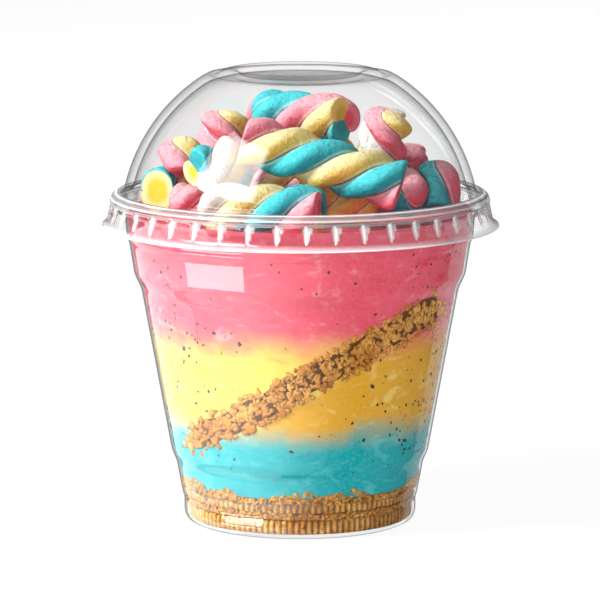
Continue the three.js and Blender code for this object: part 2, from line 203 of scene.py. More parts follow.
# Each cream's own colour, with those of its pale and its deep streaks.
PINK = (0.88, 0.105, 0.162), (0.93, 0.32, 0.38), (0.80, 0.050, 0.095)
YELLOW = (0.92, 0.64, 0.09), (0.93, 0.70, 0.20), (0.78, 0.38, 0.02)
BLUE = (0.0, 0.42, 0.46), (0.08, 0.56, 0.60), (0.0, 0.31, 0.38)
# The yellow cream is this colour under the sloping crumble.
GOLDEN = (0.82, 0.42, 0.02)


def make_cream_material():
    """One material for all three creams, so that their colours run into each other."""
    g = Graph("cream")
    across, depth, height = (g.node("ShaderNodeSeparateXYZ", {0: g.place()}).outputs[i]
                             for i in range(3))
    sway = g.math("SUBTRACT", g.noise(19, 3, 0.6), 0.5)
    fine = g.math("SUBTRACT", g.noise(3.5, 4, 0.65), 0.5)
    wobble = g.math("ADD", g.math("MULTIPLY", sway, 0.010), g.math("MULTIPLY", fine, 0.0030))
    level = g.math("ADD", height, wobble)
    streaks = g.noise(10, 5, 0.6, (1, 1, 2.0), 1.3)
    pale = g.spread(streaks, 0.52, 0.70, 0.0, 0.7)
    deep = g.spread(streaks, 0.42, 0.26)

    def streaked(own, pale_colour, deep_colour):
        return g.mix(deep, g.mix(pale, own, pale_colour), deep_colour)

    slope = g.math("ADD", g.math("MULTIPLY", across, BAND_RISE), BAND_MIDDLE * MM)
    slope = g.math("ADD", slope, g.math("MULTIPLY", depth, BAND_LEAN))
    under = g.spread(g.math("SUBTRACT", slope, level), -0.004, 0.007)
    pink, blue = streaked(*PINK), streaked(*BLUE)
    yellow = streaked(g.mix(under, YELLOW[0], GOLDEN), *YELLOW[1:])
    over_blue = g.spread(level, (BLUE_TOP - 5.1) * MM, (BLUE_TOP + 4.4) * MM)
    over_yellow = g.spread(level, (YELLOW_TOP - 5.5) * MM, (YELLOW_TOP + 6.5) * MM)
    colour = g.mix(over_yellow, g.mix(over_blue, blue, yellow), pink)
    grain = g.noise(0.9, 3, 0.6)
    colour = g.mix(g.spread(grain, 0.4, 0.75, 0.0, 0.06), colour, (1, 0.95, 0.92))
    normal = g.bump(g.noise(5, 4, 0.6), 0.5, 0.35)
    return g.principled({
        "Base Color": colour, "Roughness": 0.6, "Normal": normal,
        "Specular IOR Level": 0.12,
    })


# The way from which the painted light falls on the marshmallows: what faces it is painted paler.
PAINTED_LIGHT_FROM = (-0.50, -0.28, 0.82)


def make_marshmallow_material(name, colour, shade, valley_shade, powder_and_painted_light):
    """Soft foam: a rough skin with specks of powder, painted paler on the side that faces the
    light, with a painted highlight along each strand's edge and painted shade between the strands
    and where it is pressed in.
    """
    g = Graph(name)
    patches = g.noise(4.0, 3, 0.6)
    base = g.mix(g.spread(patches, 0.42, 0.72, 0.0, 0.6), colour, shade)
    normal = g.node("ShaderNodeNewGeometry").outputs["Normal"]
    facing_light = g.node("ShaderNodeVectorMath", {0: normal, 1: PAINTED_LIGHT_FROM},
                    operation="DOT_PRODUCT").outputs["Value"]
    dust = g.spread(g.noise(0.45, 4, 0.75), 0.5, 0.75, 0.0, 0.2)
    base = g.mix(dust, base, powder_and_painted_light)
    # Painted light: the side that faces the light's way is painted in the pale colour, as if lit.
    base = g.mix(g.spread(facing_light, -0.15, 0.9), base, powder_and_painted_light)
    edge = g.attribute("edge")
    # Painted highlight: a pale line near each strand's edge, as a rim of light.
    rim = g.math("MULTIPLY", g.spread(edge, 0.74, 0.86), g.spread(edge, 0.96, 0.89))
    base = g.mix(g.math("MULTIPLY", rim, 0.3), base, (1.0, 0.95, 0.92))
    # Painted shade: darker in the creases between strands, and where the skin is pressed in.
    base = g.mix(g.spread(edge, 0.92, 1.0, 0.0, 0.85), base, valley_shade)
    base = g.mix(g.attribute("deep"), base, valley_shade)
    fibres = g.noise(1.1, 3, 0.65, (1, 1, 1), 0.8)
    base = g.mix(g.spread(fibres, 0.5, 0.36, 0.0, 0.22), base, tuple(0.8 * c for c in shade))
    lumps = g.noise(2.2, 4, 0.6)
    normal = g.bump(fibres, 1.0, 1.1, g.bump(lumps, 0.8, 0.6))
    return g.principled({
        "Base Color": base, "Roughness": 0.7, "Normal": normal,
        "Specular IOR Level": 0.2,
        "Subsurface Weight": 0.08, "Subsurface Radius": (0.0022, 0.0011, 0.0009),
        "Subsurface Scale": 1.0,
    })


def make_cut_material(name, rim, middle):
    """The flat cut end of a strand, pale at its rim."""
    g = Graph(name)
    share = g.attribute("rim")
    colour = g.mix(g.spread(share, 0.45, 0.85), middle, rim)
    colour = g.mix(g.spread(g.noise(0.6, 3, 0.6), 0.45, 0.75, 0.0, 0.3), colour, rim)
    normal = g.bump(g.noise(0.7, 4, 0.7), 0.5, 0.25)
    return g.principled({
        "Base Color": colour, "Roughness": 0.85, "Normal": normal, "Specular IOR Level": 0.2,
    })


def make_biscuit_material(name, light, mid, dark, size_mm=1.2):
    """Baked dough: brown patches, dark pits and pale grains, with painted shade in grooves and
    further in from the wall.
    """
    g = Graph(name)
    patches = g.noise(9, 3, 0.6)
    grain = g.noise(size_mm, 5, 0.7)
    colour = g.mix(g.spread(patches, 0.35, 0.68), light, mid)
    colour = g.mix(g.math("MULTIPLY", g.attribute("tone"), 0.65), colour, mid)
    colour = g.mix(g.spread(grain, 0.52, 0.30), colour, dark)
    colour = g.mix(g.spread(g.noise(0.5, 2, 0.5), 0.62, 0.75, 0.0, 0.5), colour,
                   tuple(min(1.0, c * 1.2 + 0.02) for c in light))
    # Painted shade: darker in the biscuits' grooves and on crumbs further in from the wall.
    colour = g.mix(g.attribute("deep"), colour, tuple(c * 0.35 for c in dark))
    normal = g.bump(grain, 0.7, 0.35, g.bump(g.noise(3.2, 3, 0.6), 0.5, 0.5))
    return g.principled({
        "Base Color": colour, "Roughness": 0.85, "Normal": normal, "Specular IOR Level": 0.2,
    })


def make_speck_material():
    g = Graph("speck")
    colour = g.mix(g.spread(g.noise(0.4, 2, 0.5), 0.4, 0.7), (0.02, 0.012, 0.01),
                   (0.10, 0.045, 0.03))
    return g.principled({"Base Color": colour, "Roughness": 0.6})


# ------------------------------------------------------------------ meshes
def make_object(name, points_mm, faces, materials, slots=None, smooth=True, attributes=None):
    """A mesh object from points in millimetres; attributes are one number a point."""
    mesh = bpy.data.meshes.new(name)
    points = np.asarray(points_mm, dtype=float) * MM
    mesh.from_pydata(points.tolist(), [], [tuple(int(i) for i in face) for face in faces])
    for material in materials:
        mesh.materials.append(material)
    if slots is not None:
        mesh.polygons.foreach_set("material_index", np.asarray(slots, dtype=np.int32))
    mesh.polygons.foreach_set("use_smooth", np.full(len(faces), smooth))
    for key, values in (attributes or {}).items():
        layer = mesh.attributes.new(key, "FLOAT", "POINT")
        layer.data.foreach_set("value", np.asarray(values, dtype=np.float32))
    mesh.update()
    made = bpy.data.objects.new(name, mesh)
    bpy.context.collection.objects.link(made)
    return made


def stand_for(piece, slot, *nodes):
    """Ties a piece to the body and hides the solids that it replaces; what it is made of is not
    used.
    """
    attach(piece, "root")
    if nodes:
        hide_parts(*nodes)


def row_faces(here, above, columns):
    """Quads between two closed rows of points, given by their first points."""
    turns = [(j, (j + 1) % columns) for j in range(columns)]
    return [(here + j, here + k, above + k, above + j) for j, k in turns]


def grid_faces(rows, columns, first=0):
    """Quads between closed rows of points, each row running round once."""
    starts = [first + i * columns for i in range(rows)]
    return [face for here, above in zip(starts, starts[1:])
            for face in row_faces(here, above, columns)]


def fan_faces(row, tip, columns):
    """Triangles from a closed row of points to one point."""
    return [(row + j, row + (j + 1) % columns, tip) for j in range(columns)]


def ring_body(profile_at, columns, start_height, end_height, gather=0.0):
    """Points and faces of a closed round body from rows of (radii, heights).

    gather draws the columns together at each flute."""
    angles = np.arange(columns) / columns * TURN
    angles = FIRST_FLUTE + angles - gather * np.sin(FLUTES * angles) / FLUTES
    points = [[(0.0, 0.0, start_height)]]
    for radii, heights in profile_at(angles):
        radii = np.broadcast_to(radii, angles.shape)
        heights = np.broadcast_to(heights, angles.shape)
        points.append(np.stack([radii * np.sin(angles), -radii * np.cos(angles), heights], 1))
    points.append([(0.0, 0.0, end_height)])
    rows = len(points) - 2
    top = 1 + (rows - 1) * columns
    faces = grid_faces(rows, columns, 1)
    faces += [face[::-1] for face in fan_faces(1, 0, columns)]
    faces += fan_faces(top, top + columns, columns)
    return np.vstack(points), faces


def rounded(profile, reach, steps=4):
    """The same line with each inner corner turned into a short curve."""
    made = [profile[0]]
    for before, corner, after in zip(profile, profile[1:], profile[2:]):
        a, c, b = (np.array(p, dtype=float) for p in (before, corner, after))
        near_a = c + (a - c) * min(0.45, reach / max(1e-6, np.linalg.norm(a - c)))
        near_b = c + (b - c) * min(0.45, reach / max(1e-6, np.linalg.norm(b - c)))
        for t in np.linspace(0, 1, steps + 1):
            made.append(tuple((1 - t) ** 2 * near_a + 2 * t * (1 - t) * c + t * t * near_b))
    made.append(profile[-1])
    return made


def around(radius, angle, height):
    """A point at an angle from the front, in radians."""
    return (radius * math.sin(angle), -radius * math.cos(angle), height)


def arc(radius, height, size, start, stop, steps):
    """Part of a circle round (radius, height), from one angle to another in degrees."""
    angles = np.radians(np.linspace(start, stop, steps + 1))
    return [(radius + size * math.cos(a), height + size * math.sin(a)) for a in angles]


INNER = [(radius - CUP_WALL, height) for radius, height in WALL[2:]]


def inside_radius(height):
    """The radius of the wall's inner face at a height."""
    return np.interp(height, [p[1] for p in INNER], [p[0] for p in INNER])


# --------------------------------------------------------------------- cup
def make_cup():
    wall = rounded(WALL, 1.0)
    rim = arc(RIM_RADIUS - RIM_ROLL, RIM_HEIGHT, RIM_ROLL, -60, 150, 16)
    inside = rounded([(28.4, FLOOR), *INNER[:-1], (45.1, 84.4)], 1.0)[::-1]
    under = [(0.4, 0.8), (24.6, 0.8), (25.4, 0.6), (26.0, 0.1), (26.5, 0)]
    line = [*under, *wall, *rim, *inside, (0.4, FLOOR)]
    points, faces = ring_body(lambda angles: line, 168, 0.8, FLOOR)
    film = make_film_material("clear_cup", 0.4, (0.985, 0.99, 0.99), (0.10, 0.105, 0.11))
    return make_object("clear_cup", points, faces, [film])


def flute_place(angles, heights):
    """How far across its flute a point lies, 1 at the edge, and how open the flute is."""
    pitch = TURN / FLUTES
    away = (angles - FIRST_FLUTE + pitch / 2) % pitch - pitch / 2
    low, high = (heights - FLUTE_BOTTOM) / FLUTE_LENGTH, (BEAD_HEIGHT - heights) / 0.9
    share = np.clip(np.minimum(low, high), 0, 1)
    half_width = math.radians(0.35) + math.radians(1.25) * share
    return away / half_width, share


def flute_depth(angles, height):
    """How far the skirt is pressed in: V-shaped, wide at the top."""
    across, share = flute_place(angles, height)
    return FLUTE_DEPTH * np.sqrt(share) * np.clip(1 - np.abs(across), 0, 1)


def painted_lid_lines(points):
    """Of each point of the lid: how strong its painted highlight, and its painted dark line, are.
    """
    angles, heights = np.arctan2(points[:, 0], -points[:, 1]), points[:, 2]
    radii = np.hypot(points[:, 0], points[:, 1])
    outer = radii > EDGE_FROM
    across, share = flute_place(angles, heights)
    inside = outer & (share > 0)
    # Painted highlight down the middle of each flute, and a painted dark line at one side of it.
    white = np.clip(3 * (0.62 - np.abs(across)), 0, 1) * 0.85 * inside
    dark = np.clip(1 - np.abs(across - 0.85) / 0.3, 0, 1) * 0.8 * inside
    lip = outer & (heights < LIP_TOP)
    beyond = radii - BEAD_RADIUS
    above = heights - BEAD_HEIGHT
    on_bead = np.abs(np.hypot(beyond, above) - BEAD_SIZE) < 0.1
    round_up = np.degrees(np.arctan2(above, beyond))

    def band(middle, strength):
        """A painted line along the bead, at a number of degrees up its round side."""
        return strength * np.clip(1.3 - np.abs(round_up - middle) / 8, 0, 1) * on_bead

    # Painted highlights along the bead and on the lip, and painted dark lines along the bead, that
    # stand in for reflections.
    white = np.maximum.reduce([white, 0.6 * lip, band(67, 0.75), band(24, 0.6)])
    dark = np.maximum.reduce([dark, band(46, 0.9), band(86, 0.9), band(-3, 0.8)])
    return {"pressed": white, "creased": dark}


def make_lid():
    top = rounded([(13.6, LID_TOP - 1.9), (15.6, LID_TOP - 1.7), (16.6, LID_TOP - 0.4),
                   (18.4, LID_TOP), (20.4, LID_TOP - 0.5), (22.4, LID_TOP - 1.9),
                   (24.4, LID_TOP - 1.4)], 0.9)
    outer_dome = arc(0, DOME_CENTRE, DOME_SPHERE, 57, 12, 46)
    bead = arc(BEAD_RADIUS, BEAD_HEIGHT, BEAD_SIZE, 98, -18, 19)
    skirt_heights = [SKIRT_TOP, 83.9, 83.4, 82.8, 82.2, 81.6, 81.0, 80.6, FLUTE_BOTTOM]
    outside = [*top, *outer_dome, (46.75, 87.0), *bead]
    slope = SKIRT_FLARE / (SKIRT_TOP - FLUTE_BOTTOM)
    skirt = [(SKIRT_RADIUS + slope * (SKIRT_TOP - z), z) for z in skirt_heights]
    lip = [(51.4, 79.6), (52.0, 79.1), (52.45, 78.9), (52.5, 78.75), (52.2, 78.6), (51.8, 78.7)]
    inner_skirt = [(radius - LID_WALL, z) for radius, z in skirt[::-1]]
    bead_inside = arc(47.4, 85.2, 1.85, -12, 98, 10)
    inner_dome = arc(0, DOME_CENTRE, DOME_SPHERE - DOME_WALL, 12.5, 56, 44)
    under_top = rounded([(24.2, LID_TOP - 3.7), (20.6, LID_TOP - 2.6), (17.6, LID_TOP - 2.4),
                         (14.6, LID_TOP - 3.0), (12.6, LID_TOP - 3.2)], 0.8)

    def rows(angles):
        for radius, height in [*outside, *skirt, *lip, *inner_skirt]:
            yield radius - flute_depth(angles, height), height
        yield from [*bead_inside, *inner_dome, *under_top]

    points, faces = ring_body(rows, FLUTES * 12, LID_TOP - 1.9, LID_TOP - 3.2, gather=0.6)
    is_bead = [max(points[i][2] for i in face) < BEAD_TOP for face in faces]
    faces = [face[::-1] for face in faces]
    film = make_film_material("clear_dome", 0.3, (0.976, 0.983, 0.980), (0.14, 0.145, 0.15))
    return make_object("clear_lid", points, faces, [film, make_bead_material()], is_bead,
                       attributes=painted_lid_lines(points))


# ------------------------------------------------------------------ creams
def climb(share):
    """How far the pink cream's top rises at a share of its radius, towards the wall."""
    return (PINK_EDGE - PINK_TOP) * np.clip((share - 0.8) / 0.2, 0, 1) ** 1.5


def make_cream(name, bottom, top, material, dished=False):
    """A full round layer that reaches just into the cup's wall."""
    heights = np.arange(bottom, top, 0.8)
    heights = [bottom, bottom + 0.03, *heights[(heights > bottom) & (heights < top - 0.3)],
               top - 0.03, top]

    def rows(angles):
        for share in (0.35, 0.7, 0.999):
            yield (inside_radius(bottom) + INTO_WALL) * share, bottom
        for height in heights:
            yield inside_radius(height) + INTO_WALL, height
        if dished:
            for step in range(1, 12):
                share = 1 - step / 12
                sway = 0.35 * np.sin(5 * angles + 9 * share) * share
                yield inside_radius(top) * share, PINK_TOP + climb(share) + sway - 0.2
        else:
            for share in (0.999, 0.7, 0.35):
                yield (inside_radius(top) + INTO_WALL) * share, top

    points, faces = ring_body(rows, 168, bottom, PINK_TOP - 0.2 if dished else top)
    return make_object(name, points, faces, [material])


# ------------------------------------------------------------ dry layers
def make_biscuit(name, bottom, top, radius, ridges, material, phase):
    """A round biscuit with a ridged edge, soft at its upper and lower rims, with painted shade in
    its grooves.
    """
    columns = ridges * 8
    thickness = top - bottom

    def groove(angles):
        share = (angles * ridges / TURN + phase) % 1.0
        return np.abs(np.sin(math.pi * share)) ** 0.6

    def rows(angles):
        crest = groove(angles)
        sway = 0.12 * np.sin(23 * angles + phase) + 0.1 * np.sin(41 * angles)
        yield radius * 0.6, bottom
        yield radius - 1.2, bottom
        for t in np.linspace(0, 1, 13):
            bulge = math.sqrt(max(0.0, 1 - abs(2 * t - 1) ** 3.2))
            depth = 0.62 * (1 - crest) * (0.3 + 0.7 * bulge) + 0.55 * (1 - bulge)
            lift = 0.12 * sway * (t > 0.9)
            yield radius - depth + sway * 0.3, bottom + t * thickness + lift
        yield radius - 1.2, top
        yield radius * 0.6, top

    points, faces = ring_body(rows, columns, bottom, top)
    angles = np.arctan2(points[:, 0], -points[:, 1])
    outer = np.hypot(points[:, 0], points[:, 1]) > radius - 1.25
    # Painted shade: darker deep in each groove of the edge.
    deep = np.where(outer, (1 - groove(angles)) ** 0.85, 0.0)
    return make_object(name, points, faces, [material], attributes={"deep": deep})


def round_ball():
    """Points and triangles of the small round mesh that every crumb is bent from."""
    ball = bmesh.new()
    bmesh.ops.create_icosphere(ball, subdivisions=2, radius=1)
    ball.verts.ensure_lookup_table()
    points = np.array([list(vertex.co) for vertex in ball.verts])
    triangles = np.array([[vertex.index for vertex in face.verts] for face in ball.faces])
    ball.free()
    return points, triangles


BALL_POINTS, BALL_TRIANGLES = round_ball()


def random_turn(draw):
    q = draw.normal(size=4)
    w, x, y, z = q / np.linalg.norm(q)
    return np.array([
        [1 - 2 * (y * y + z * z), 2 * (x * y - w * z), 2 * (x * z + w * y)],
        [2 * (x * y + w * z), 1 - 2 * (x * x + z * z), 2 * (y * z - w * x)],
        [2 * (x * z - w * y), 2 * (y * z + w * x), 1 - 2 * (x * x + y * y)],
    ])


def rough_chip(draw, place, size, flat):
    """One crumb's points: a ball with five flats, squeezed, roughened and turned."""
    knocks = draw.normal(size=(5, 3))
    knocks /= np.linalg.norm(knocks, axis=1)[:, None]
    cuts = draw.uniform(0.45, 0.9, 5)
    shape = BALL_POINTS.copy()
    for knock, cut in zip(knocks, cuts):
        over = np.maximum(0, shape @ knock - cut)
        shape = shape - over[:, None] * knock
    shape = shape * draw.uniform([0.7, 0.7, 0.5], [1.25, 1.0, flat + 0.2])
    shape = shape + draw.normal(size=shape.shape) * 0.035
    return shape @ random_turn(draw) * (size / 2) + place


def make_crumbs(name, spots, draw, material, body=((), ()), body_shade=0.9, flat=0.7,
                reach=PRESSED):
    """Many rough crumbs in one piece, with the body that they lie on.

    spots holds each crumb's place and size. One attribute is painted shade: it darkens what lies
    further in from the wall, and the body evenly; tone is one random number for each crumb."""
    points, faces = [list(part) for part in body]
    count = len(points)
    points = [points] if count else []
    deep, tone = [np.full(count, body_shade)], [np.full(count, 0.5)]
    for place, size in spots:
        shape = rough_chip(draw, place, size, flat)
        radius = np.hypot(shape[:, 0], shape[:, 1])
        limit = inside_radius(shape[:, 2]) + reach
        shape[:, :2] *= np.minimum(1, limit / radius)[:, None]
        points.append(shape)
        faces.extend((BALL_TRIANGLES + count).tolist())
        # Painted shade: a crumb is darker the further in from the wall it lies.
        deep.append(0.8 * np.clip((limit - 0.25 - radius) / 0.65, 0, 1))
        tone.append(np.full(len(shape), draw.uniform()))
        count += len(shape)
    return make_object(name, np.vstack(points), faces, [material], smooth=False,
                       attributes={"deep": np.concatenate(deep), "tone": np.concatenate(tone)})


def against_wall(draw, angle, height, size):
    """Where a crumb of a given size lies, partly pressed into the wall."""
    radius = inside_radius(height) + 0.85 - size * 0.32 - draw.uniform(0, 0.3)
    return around(radius, angle, height)


def round_slab(bottom, top, radius_low, radius_high):
    """The body under a round layer of crumbs, uneven along its upper edge."""
    def rows(angles):
        sway = 0.25 * np.sin(31 * angles) + 0.2 * np.sin(53 * angles + 1)
        yield radius_low * 0.5, bottom
        yield radius_low, bottom
        yield (radius_low + radius_high) / 2 + 0.2, (bottom + top) / 2
        yield radius_high, top + sway
        yield radius_high * 0.5, top
    return ring_body(rows, 168, bottom, top)


def make_seam_crumbs(material):
    """The crumbs between the two biscuits."""
    draw = np.random.default_rng(11)
    spots = []
    for _ in range(900):
        angle = draw.uniform(0, TURN)
        size = draw.uniform(0.7, 1.7)
        height = draw.uniform(5.3, 6.9)
        spots.append((against_wall(draw, angle, height, size), size))
    return make_crumbs("seam_crumbs", spots, draw, material,
                       round_slab(5.2, 6.8, 29.5, 29.7), body_shade=0.3)


def make_floor_crumbs(material):
    """The loose crumbs on the upper biscuit, in low heaps."""
    draw = np.random.default_rng(12)
    spots = []
    for _ in range(1150):
        angle = draw.uniform(0, TURN)
        heap = 0.9 * math.sin(5 * angle + 0.6) + 0.6 * math.sin(11 * angle + 2.1)
        heap += 0.5 * math.sin(17 * angle)
        size = draw.uniform(0.8, 2.1) * (1.15 if draw.uniform() > 0.8 else 1)
        height = draw.uniform(9.5, max(10.4, 12.0 + heap))
        spots.append((against_wall(draw, angle, height, size), size))
    return make_crumbs("floor_crumbs", spots, draw, material,
                       round_slab(9.6, 11.2, 30.2, 30.6), body_shade=0.5)


def band_height(x, y):
    """The height of the middle of the sloping layer."""
    return BAND_MIDDLE + BAND_RISE * x + BAND_LEAN * y


def band_meets_wall(x, offset, way, beyond):
    """How far across, and how high, a level of the sloping layer meets the wall.

    way is the side, by its sign; beyond gives how far into the wall to go."""
    y = math.copysign(40.0, way)
    for _ in range(4):
        height = band_height(x, y) + offset
        radius = float(inside_radius(height)) + beyond()
        y = math.copysign(math.sqrt(radius**2 - x * x), way)
    return y, height


def band_slab(draw):
    """The sloping layer's rough body: two sheets, joined all round their edges."""
    along, across = 34, 30
    points, faces = [], []
    for side in (-1, 1):
        for i in range(along + 1):
            share = i / along
            x = BAND_LEFT + 1.5 + (BAND_RIGHT - BAND_LEFT - 3) * share
            full = min(1, 0.82 + 3.2 * min(share, 1 - share))
            half = BAND_THICKNESS / 2 * full * 0.84
            for j in range(across + 1):
                way = 2 * j / across - 1
                offset = side * half + draw.uniform(-0.5, 0.5)
                y = band_meets_wall(x, offset, way, lambda: INTO_WALL + 0.08)[0] * abs(way)
                points.append((x, y, band_height(x, y) + offset))
    width = across + 1
    layer = (along + 1) * width
    for a in [i * width + j for i in range(along) for j in range(across)]:
        b = a + width
        faces.append((a, a + 1, b + 1, b))
        faces.append((layer + a, layer + b, layer + b + 1, layer + a + 1))
    for a in range(0, along * width, width):
        b = a + width
        faces.append((a, b, layer + b, layer + a))
        faces.append((layer + a + across, layer + b + across, b + across, a + across))
    for a in range(across):
        b = a + along * width
        faces.append((a, layer + a, layer + a + 1, a + 1))
        faces.append((b + 1, layer + b + 1, layer + b, b))
    return points, faces


def make_band_crumbs(material):
    """The sloping layer: a rough slab, with a mass of crumbs where it meets the wall."""
    draw = np.random.default_rng(13)
    slab = band_slab(draw)
    spots = []
    while len(spots) < 1700:
        x = draw.uniform(BAND_LEFT - 0.5, BAND_RIGHT + 0.5)
        way = -1 if draw.uniform() < 0.5 else 1
        share = (x - BAND_LEFT) / (BAND_RIGHT - BAND_LEFT)
        full = min(1, 0.85 + 3.0 * min(max(0.0, share), max(0.0, 1 - share)))
        size = draw.uniform(1.2, 3.2) * (1.0 if draw.uniform() > 0.25 else 0.6)
        spread = BAND_THICKNESS / 2 * full * 1.08
        offset = float(np.clip(draw.normal() * 0.6, -1, 1)) * spread
        y, height = band_meets_wall(x, offset, way,
                                    lambda: 0.95 - size * 0.30 - abs(draw.normal()) * 0.1)
        spots.append(((x, y, height), size))
    return make_crumbs("band_crumbs", spots, draw, material, slab, flat=0.8)


def make_specks():
    """Dark seeds scattered in the cream against the wall, thicker at the sides."""
    draw = np.random.default_rng(31)
    spots = []
    while len(spots) < 1300:
        angle = draw.uniform(0, TURN)
        height = draw.uniform(17, 78)
        if draw.uniform() > 0.06 + 0.94 * math.sin(angle) ** 2:
            continue
        x, y, height = around(44, angle, height)
        if abs(height - band_height(x, y)) < 4:
            continue
        size = 0.32 + draw.uniform() ** 3 * 1.15
        radius = float(inside_radius(height)) + INTO_WALL + 0.03
        spots.append((around(radius, angle, height), size))
    return make_crumbs("specks", spots, draw, make_speck_material(), flat=0.5,
                       reach=INTO_WALL + 0.1)


# ------------------------------------------------------------ marshmallows
# Name, from, to, size, strands, pitch, place of the first band, ends, bands of colour.
TWISTS = [
    ("front_long", (-14.5, -19, 103.6), (26, -24, 92), 14.3, 3, 29.5, -3.2, "cut cut", "PYBYBP"),
    ("top", (-11.5, 13, 106.6), (11.6, -7.5, 107.3), 13.8, 3, 30, 6, "round cut", "BPYB"),
    ("front_low", (-26, -23.5, 86), (5.4, -32, 86.4), 14.2, 3, 28.5, 1, "round cut", "WYBPY"),
    ("right_high", (23.4, -11, 110.2), (20.8, -8.5, 97.8), 13.8, 3, 19, -0.5, "blunt cut", "YPW"),
    ("left_high", (-19.8, 8, 108), (-20.5, 6, 94), 14.2, 3, 20, -0.9, "blunt cut", "YPP"),
    ("left_front", (-26.5, -18.5, 94.8), (-15, -9, 98.5), 13.4, 3, 28.5, -4.7, "cut round", "BWY"),
    ("left_end", (-37.5, -3.5, 88), (-33, 13, 88), 12, 2, 60, -15, "cut cut", "BY"),
    ("right_low", (28.8, 0, 88.2), (27.6, -14.8, 87.6), 12.4, 2, 50, 15, "cut round", "PB"),
    ("right_edge", (36, 0.5, 95.6), (36, -3, 83.5), 12.6, 3, 50, -5.4, "round cut", "PBB"),
    ("left_middle", (-31.2, 3, 100.8), (-30.8, -1, 92), 13.4, 3, 30, -0.5, "blunt cut", "YPP"),
    ("left_low", (-34, -13, 86.2), (-23, -12, 86.6), 12, 3, 28.5, 2, "round cut", "PPP"),
    ("right_back", (28.5, 9, 99), (28, 9, 89), 13, 3, 30, 0, "blunt cut", "PYYY"),
    # middle_low's yellow strands wear the painted-shade copy of the yellow foam.
    ("middle_low", (0, -12.5, 86.3), (20.5, -10, 86.2), 12.4, 3, 28.5, 3, "cut round", "OOO"),
    ("top_back", (-7.9, 17, 108.6), (-10, 31, 100.5), 11.6, 3, 28.5, 1, "round cut", "PPP"),
    ("back_high", (-18, 25.5, 95.5), (13, 25, 95), 13.4, 3, 28.5, 4, "round cut", "YPB"),
    ("middle_high", (-13, 11, 93.5), (15, 9.5, 95.5), 13, 4, 34, 2, "round round", "PBYP"),
    ("back_left", (-29, 20, 87), (-4, 33, 87), 13.6, 3, 28.5, 2, "round cut", "PBY"),
    ("back_right", (9.5, 32, 87), (33, 19, 87), 13.4, 4, 34, 5, "cut round", "BYPB"),
    ("middle", (-13, -2, 88), (12, 3, 88), 12.6, 4, 34, 2, "round round", "YPBP"),
]
# By the number of strands: one strand's radius over the width of the whole bundle.
STRAND_SIZE = {2: 0.4, 3: 0.29, 4: 0.235}
# Of each kind of end: its length over the width, and the share of the width it starts with.
ENDS = {"round": (0.42, 0.12), "blunt": (0.24, 0.35), "cut": (0.065, 0.9)}
# The twists whose cut ends don't show the colours of their strands.
CUT_LOOKS = {"left_end": ["Ycore", "Ycore"], "left_front": ["B", "W", "Ycore"]}
# The gap that is left where one twist lies against another.
PRESS_GAP = 0.12
# How many points go round one strand, and how far apart the rows of points are.
AROUND, ALONG = 13, 0.55
# The shares of the radius at which the rings of points on an end lie.
CAP_SHARES = (0.88, 0.7, 0.45, 0.2)
PRESS_STEPS = 36
FAR = 9.0


class Twist:
    """The shape of one bundle of strands, and its frame in space."""

    def __init__(self, name, start, end, size, strands, pitch, first, ends, bands):
        self.name, self.size, self.strands = name, size, strands
        self.pitch, self.bands = pitch, bands
        self.start, self.end = np.array(start, float), np.array(end, float)
        self.length = np.linalg.norm(self.end - self.start)
        self.axis = (self.end - self.start) / self.length
        front = np.array([0.0, -1.0, 0.0])
        side = front - self.axis * (front @ self.axis)
        self.side = side / np.linalg.norm(side)
        self.up = np.cross(self.side, self.axis)
        self.turn = TURN / 4 + first / pitch * TURN
        self.kinds = ends.split()

    def spin(self, place):
        return self.turn - place / self.pitch * TURN

    def band(self, strand, place):
        """Which band of colour a strand shows: it changes once a turn, behind."""
        if len(self.bands) == self.strands:
            return strand % self.strands
        angle = self.spin(place) + strand / self.strands * TURN
        turns = -np.round((angle - TURN / 4) / TURN).astype(int)
        return np.clip(strand + self.strands * turns, 0, len(self.bands) - 1)

    def bundle(self, away):
        """The bundle's radius at an angle away from the middle of a strand."""
        strand = self.size * STRAND_SIZE[self.strands]
        middle = self.size / 2 - strand
        side = middle * np.sin(away)
        return middle * np.cos(away) + np.sqrt(np.maximum(0, strand**2 - side**2))

    def end_share(self, distance, kind):
        reach, least = ENDS[kind]
        part = np.clip(distance / (reach * self.size), 0, 1)
        return least + (1 - least) * np.sqrt(1 - (1 - part) ** 2)

    def share(self, place):
        """How much of its full width the bundle has at a place along it."""
        return np.minimum(self.end_share(place, self.kinds[0]),
                          self.end_share(self.length - place, self.kinds[1]))

    def clearance(self, points, gap):
        """How far points lie outside the bundle, roughly; negative inside."""
        rel = points - self.start
        place = rel @ self.axis
        u, s = rel @ self.up, rel @ self.side
        radius = np.hypot(u, s)
        pitch = TURN / self.strands
        away = (np.arctan2(s, u) - self.spin(place) + pitch / 2) % pitch - pitch / 2
        here = np.clip(place, 0, self.length)
        across = radius - self.bundle(away) * self.share(here) - gap
        past = np.maximum(-place, place - self.length) - gap
        return np.maximum(across, past)


def cream_height(points):
    return PINK_TOP + climb(np.hypot(points[:, 0], points[:, 1]) / CREAM_RADIUS)


def end_places(kind, size):
    """Where the rows of points stand at an end, closest together at its tip."""
    rows = 6 if kind == "cut" else 12
    return size * ENDS[kind][0] * (1 - np.cos(np.linspace(0, math.pi / 2, rows)))


def clear_stretch(twist, others, places):
    """The rows where the longest stretch that no other twist lies on starts and ends."""
    on_axis = twist.start + places[:, None] * twist.axis
    free = np.full(len(places), FAR)
    for other in others:
        free = np.minimum(free, other.clearance(on_axis, PRESS_GAP))
    keep = np.concatenate([[False], free > 0.05, [False]])
    spans = np.flatnonzero(np.diff(keep.astype(int))).reshape(-1, 2)
    return max(spans, key=lambda span: span[1] - span[0])


